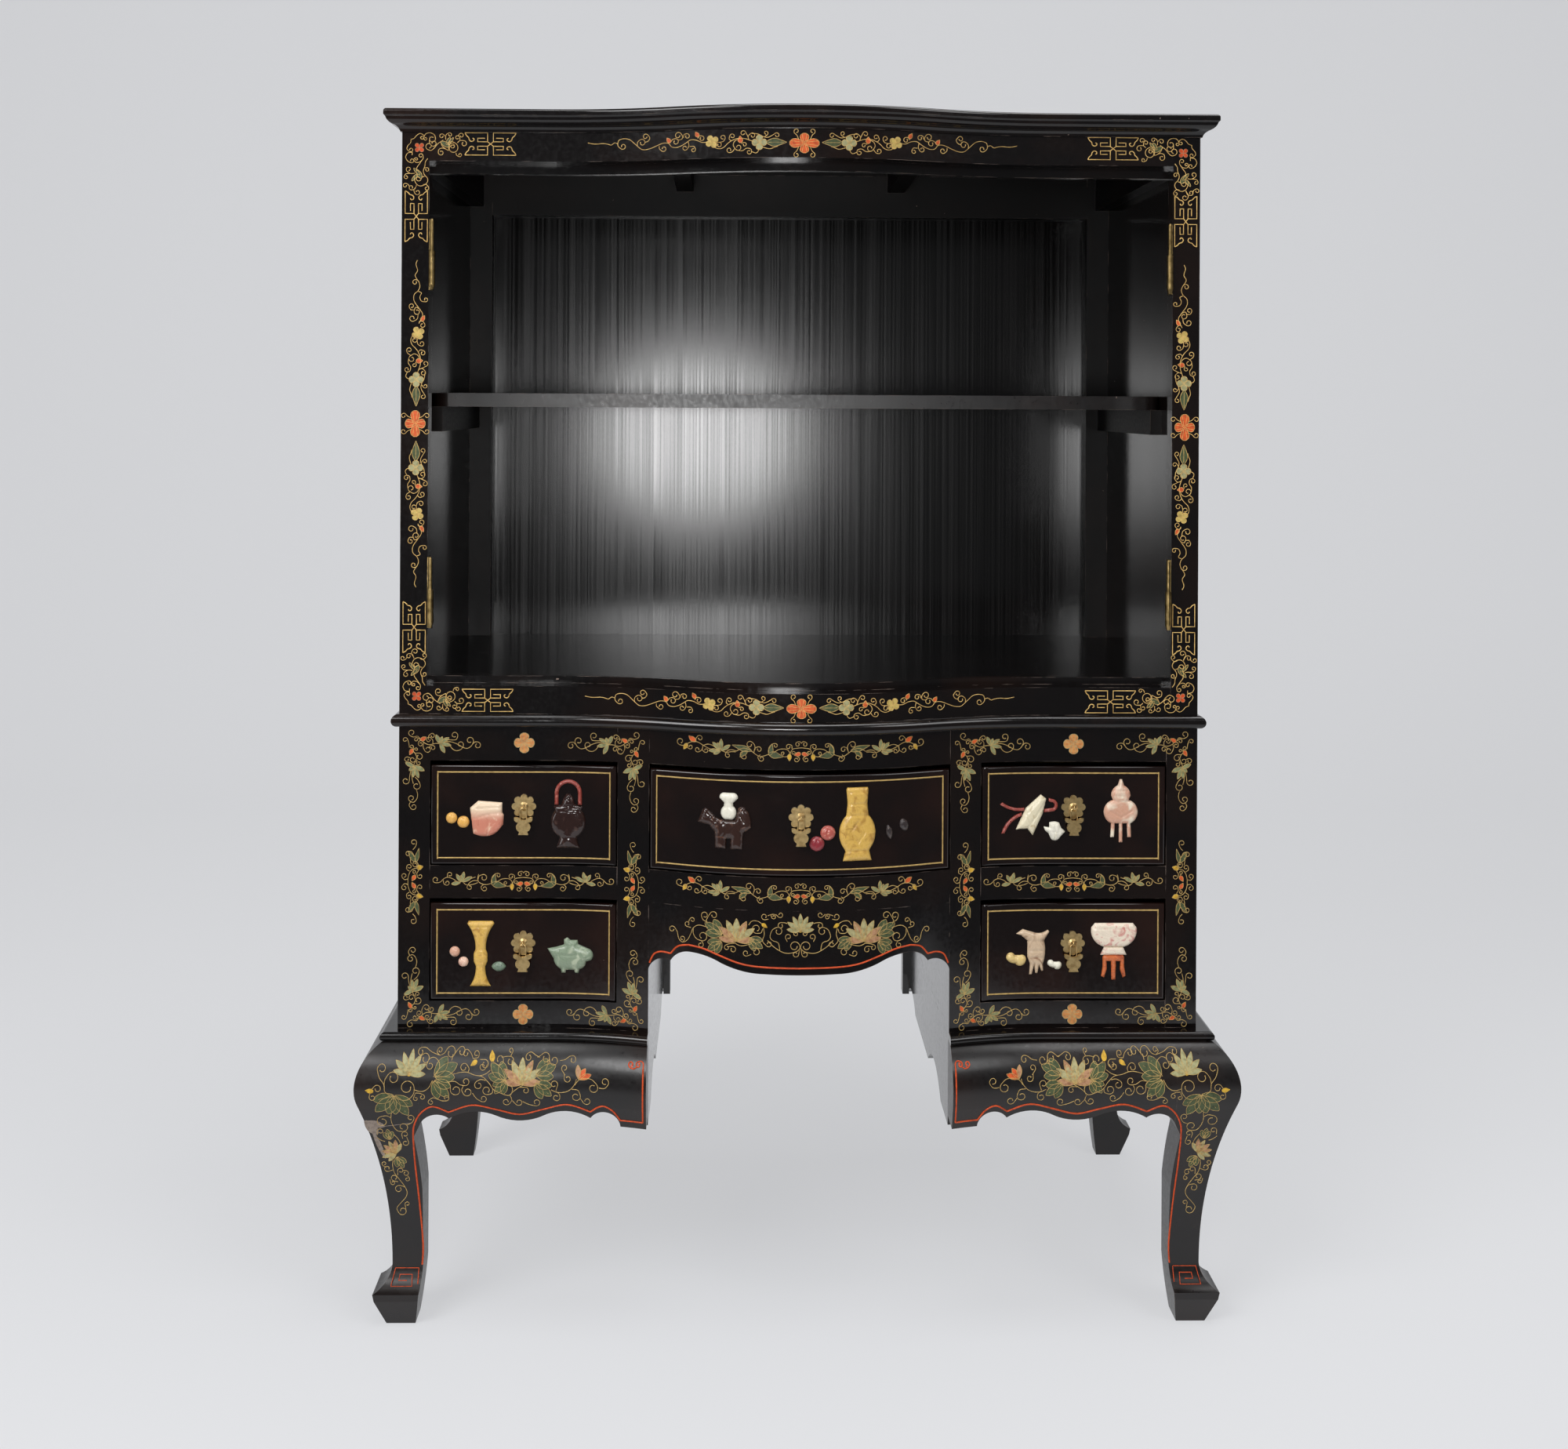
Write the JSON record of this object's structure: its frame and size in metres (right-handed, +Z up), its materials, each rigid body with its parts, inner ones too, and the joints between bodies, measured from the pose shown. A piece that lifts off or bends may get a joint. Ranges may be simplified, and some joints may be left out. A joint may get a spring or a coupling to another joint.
{
  "type": "tv cabinet",
  "caption": "Black lacquer cabinet with serpentine front: open shelved upper case over a kneehole case of drawers with drop pulls, on cabriole legs.",
  "frame": {"origin": "on the floor, under the middle of the whole cabinet", "axes": "+Z up, front towards -Y, +X to the right of a viewer in front"},
  "size_m": [1.09, 0.587, 1.508],
  "materials": {
    "black_lacquer": "glossy lacquer",
    "interior_lacquer": "brushed lacquer",
    "bare_wood": "planed",
    "brass": "aged",
    "hardstone": "polished"
  },
  "bodies": {
    "cabinet": {"base_boards": "black_lacquer", "base_mouldings": "black_lacquer", "cabinet_floor": "interior_lacquer", "centre_dust_board": "black_lacquer", "cornice_moulding": "black_lacquer", "door_stops": "interior_lacquer", "drawer_runners": "bare_wood", "front_aprons": "black_lacquer", "front_left_leg": "black_lacquer", "front_rails": "black_lacquer", "front_right_leg": "black_lacquer", "front_stiles": "black_lacquer", "head_rail": "black_lacquer", "hinge_leaves": "brass", "hinge_pins": "brass", "inner_aprons": "black_lacquer", "kneehole_apron": "black_lacquer", "kneehole_walls": "black_lacquer", "lower_back_panels": "black_lacquer", "lower_sides": "black_lacquer", "lower_top_board": "black_lacquer", "rear_aprons": "black_lacquer", "rear_left_leg": "black_lacquer", "rear_posts": "interior_lacquer", "rear_right_leg": "black_lacquer", "shelf": "interior_lacquer", "shelf_cleats": "interior_lacquer", "side_aprons": "black_lacquer", "sill_rail": "black_lacquer", "top_board": "black_lacquer", "top_framing": "interior_lacquer", "upper_back_panel": "interior_lacquer", "upper_sides": "black_lacquer", "upper_stiles": "black_lacquer", "waist_moulding": "black_lacquer"},
    "left_top_drawer": {"left_top_drawer_box": "bare_wood", "left_top_drawer_front": "black_lacquer", "left_top_drawer_pull_plate": "brass", "left_top_drawer_stones": "hardstone"},
    "left_top_pull": {"left_top_drawer_pull_drop": "brass"},
    "left_bottom_drawer": {"left_bottom_drawer_box": "bare_wood", "left_bottom_drawer_front": "black_lacquer", "left_bottom_drawer_pull_plate": "brass", "left_bottom_drawer_stones": "hardstone"},
    "left_bottom_pull": {"left_bottom_drawer_pull_drop": "brass"},
    "centre_drawer": {"centre_drawer_box": "bare_wood", "centre_drawer_front": "black_lacquer", "centre_drawer_pull_plate": "brass", "centre_drawer_stones": "hardstone"},
    "centre_pull": {"centre_drawer_pull_drop": "brass"},
    "right_top_drawer": {"right_top_drawer_box": "bare_wood", "right_top_drawer_front": "black_lacquer", "right_top_drawer_pull_plate": "brass", "right_top_drawer_stones": "hardstone"},
    "right_top_pull": {"right_top_drawer_pull_drop": "brass"},
    "right_bottom_drawer": {"right_bottom_drawer_box": "bare_wood", "right_bottom_drawer_front": "black_lacquer", "right_bottom_drawer_pull_plate": "brass", "right_bottom_drawer_stones": "hardstone"},
    "right_bottom_pull": {"right_bottom_drawer_pull_drop": "brass"}
  },
  "joints": [
    {"name": "left_top_drawer_slide", "type": "slide", "parent": "cabinet", "child": "left_top_drawer", "axis": [0, -1, 0], "range_m": [0, 0.32]},
    {"name": "left_bottom_drawer_slide", "type": "slide", "parent": "cabinet", "child": "left_bottom_drawer", "axis": [0, -1, 0], "range_m": [0, 0.32]},
    {"name": "centre_drawer_slide", "type": "slide", "parent": "cabinet", "child": "centre_drawer", "axis": [0, -1, 0], "range_m": [0, 0.32]},
    {"name": "right_top_drawer_slide", "type": "slide", "parent": "cabinet", "child": "right_top_drawer", "axis": [0, -1, 0], "range_m": [0, 0.32]},
    {"name": "right_bottom_drawer_slide", "type": "slide", "parent": "cabinet", "child": "right_bottom_drawer", "axis": [0, -1, 0], "range_m": [0, 0.32]},
    {"name": "left_top_pull_swing", "type": "hinge", "parent": "left_top_drawer", "child": "left_top_pull", "pos_m": [-0.344, -0.2227, 0.6393], "axis": [-1, 0, 0], "range_deg": [0, 80]},
    {"name": "left_bottom_pull_swing", "type": "hinge", "parent": "left_bottom_drawer", "child": "left_bottom_pull", "pos_m": [-0.344, -0.2227, 0.4688], "axis": [-1, 0, 0], "range_deg": [0, 80]},
    {"name": "centre_pull_swing", "type": "hinge", "parent": "centre_drawer", "child": "centre_pull", "pos_m": [0, -0.2797, 0.6393], "axis": [-1, 0, 0], "range_deg": [0, 80]},
    {"name": "right_top_pull_swing", "type": "hinge", "parent": "right_top_drawer", "child": "right_top_pull", "pos_m": [0.344, -0.2227, 0.6393], "axis": [-1, 0, 0], "range_deg": [0, 80]},
    {"name": "right_bottom_pull_swing", "type": "hinge", "parent": "right_bottom_drawer", "child": "right_bottom_pull", "pos_m": [0.344, -0.2227, 0.4688], "axis": [-1, 0, 0], "range_deg": [0, 80]}
  ]
}
